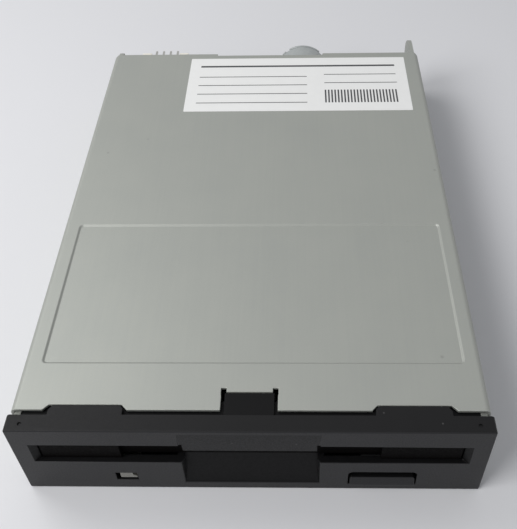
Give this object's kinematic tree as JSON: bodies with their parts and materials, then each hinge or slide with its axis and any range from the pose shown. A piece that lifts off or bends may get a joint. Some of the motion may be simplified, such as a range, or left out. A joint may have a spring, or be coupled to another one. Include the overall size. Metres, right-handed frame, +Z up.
{
  "type": "floppy disk drive",
  "caption": "Slim floppy disk drive with a black slotted bezel, flap, eject button, pressed steel cover, loading mechanism, spindle and head carriage on a lead screw.",
  "frame": {"origin": "middle of the base, under the centre of the overall box", "axes": "+X to the right seen from the front, +Y to the rear, +Z up"},
  "size_m": [0.1016, 0.152, 0.0254],
  "materials": {
    "steel_sheet": "zinc plated sheet, satin",
    "black_plastic": "fine moulded texture",
    "label_paper": "blank coated label",
    "lens_plastic": "milky light pipe",
    "lamp_plastic": "clear lamp body",
    "motor_laminate": "coated board",
    "control_laminate": "coated board",
    "bearing_brass": "turned",
    "lamination": "stamped",
    "copper_wire": "enamelled copper",
    "chip_plastic": "moulded",
    "zinc_steel": "zinc plated",
    "part_bodies": "mixed small parts",
    "header_plastic": "moulded",
    "gold_pins": "plated",
    "nylon": "natural nylon",
    "cable_film": "flat cable film",
    "motor_steel": "drawn steel",
    "ground_steel": "ground",
    "spring_wire": "drawn wire",
    "cast_alloy": "die cast",
    "ferrite": "ground ferrite",
    "head_ceramic": "polished",
    "flex_film": "polyimide film"
  },
  "bodies": {
    "chassis": {"base_frame": "steel_sheet", "front_bezel": "black_plastic", "top_cover": "steel_sheet", "rating_label": "label_paper", "led_lens": "lens_plastic", "led_lamp": "lamp_plastic", "motor_board": "motor_laminate", "spindle_bearing": "bearing_brass", "stator_core": "lamination", "stator_coils": "copper_wire", "motor_chips": "chip_plastic", "index_sensor": "chip_plastic", "switch_bodies": "chip_plastic", "board_screws": "zinc_steel", "control_board": "control_laminate", "control_chips": "chip_plastic", "board_parts": "part_bodies", "data_header": "header_plastic", "data_pins": "gold_pins", "power_header": "nylon", "power_pins": "zinc_steel", "motor_cable": "cable_film", "flex_socket": "nylon", "track_sensor": "chip_plastic", "stepper_bracket": "zinc_steel", "stepper_can": "motor_steel", "stepper_end_cap": "motor_steel", "stepper_coils": "copper_wire", "stepper_terminal": "nylon", "pivot_bush": "bearing_brass", "bracket_screws": "zinc_steel", "guide_rods": "ground_steel", "slide_springs": "spring_wire", "flap_spring": "spring_wire"},
    "slide": {"eject_button": "black_plastic", "slide_plate": "zinc_steel"},
    "holder": {"disk_holder": "zinc_steel", "guide_pins": "ground_steel", "lever_spring": "spring_wire"},
    "lever": {"trigger_lever": "zinc_steel", "lever_pin": "ground_steel"},
    "flap": {"dust_flap": "black_plastic"},
    "carriage": {"head_carriage": "cast_alloy", "lower_head": "head_ceramic", "screw_follower": "ground_steel", "hinge_pin": "ground_steel", "arm_spring": "spring_wire", "head_flex": "flex_film"},
    "head_arm": {"upper_arm": "cast_alloy", "upper_head": "head_ceramic"},
    "screw": {"lead_screw": "ground_steel", "stepper_rotor": "ferrite"},
    "spindle": {"rotor_cup": "motor_steel", "rotor_magnet": "ferrite", "chuck_plate": "ferrite", "spindle_shaft": "ground_steel"},
    "hub_pin": {"drive_pin": "ground_steel"},
    "density_switch": {"density_plunger": "nylon"},
    "disk_switch": {"disk_plunger": "nylon"},
    "protect_switch": {"protect_plunger": "nylon"}
  },
  "joints": [
    {"name": "eject_slide", "type": "slide", "parent": "chassis", "child": "slide", "axis": [0, -1, 0], "range_m": [0, 0.0055], "deforming": ["slide_springs"]},
    {"name": "holder_drop", "type": "slide", "parent": "chassis", "child": "holder", "axis": [0, 0, -1], "range_m": [0, 0.0026]},
    {"name": "arm_lower", "type": "hinge", "parent": "carriage", "child": "head_arm", "pos_m": [0, 0.0514, 0.0209], "axis": [1, 0, 0], "range_deg": [0, 7.2], "deforming": ["arm_spring"]},
    {"name": "lever_swing", "type": "hinge", "parent": "holder", "child": "lever", "pos_m": [-0.04, 0.0125, 0.0175], "axis": [0, 0, 1], "range_deg": [0, 55], "stiffness_Nm_per_rad": 0.01, "deforming": ["lever_spring"]},
    {"name": "flap_swing", "type": "hinge", "parent": "chassis", "child": "flap", "pos_m": [0, -0.0727, 0.0191], "axis": [1, 0, 0], "range_deg": [0, 80], "stiffness_Nm_per_rad": 0.001, "deforming": ["flap_spring"]},
    {"name": "carriage_travel", "type": "slide", "parent": "chassis", "child": "carriage", "axis": [0, -1, 0], "range_m": [0, 0.0148], "deforming": ["head_flex"]},
    {"name": "screw_turn", "type": "hinge", "parent": "chassis", "child": "screw", "pos_m": [0.0124, 0.0445, 0.0118], "axis": [0, -1, 0], "range_deg": [0, 1777]},
    {"name": "spindle_turn", "type": "hinge", "parent": "chassis", "child": "spindle", "pos_m": [0, -0.0221, 0.008], "axis": [0, 0, 1], "continuous": true},
    {"name": "hub_pin_press", "type": "slide", "parent": "spindle", "child": "hub_pin", "axis": [0, 0, -1], "range_m": [0, 0.0008], "stiffness_N_per_m": 200},
    {"name": "density_press", "type": "slide", "parent": "chassis", "child": "density_switch", "axis": [0, 0, -1], "range_m": [0, 0.0013], "stiffness_N_per_m": 150},
    {"name": "disk_press", "type": "slide", "parent": "chassis", "child": "disk_switch", "axis": [0, 0, -1], "range_m": [0, 0.0013], "stiffness_N_per_m": 150},
    {"name": "protect_press", "type": "slide", "parent": "chassis", "child": "protect_switch", "axis": [0, 0, -1], "range_m": [0, 0.0013], "stiffness_N_per_m": 150}
  ],
  "couplings": [
    {"joint": "holder_drop", "follows": "eject_slide", "ratio": 0.4727},
    {"joint": "arm_lower", "follows": "eject_slide", "rad_per_m": 22.84},
    {"joint": "screw_turn", "follows": "carriage_travel", "rad_per_m": 2094.4}
  ]
}
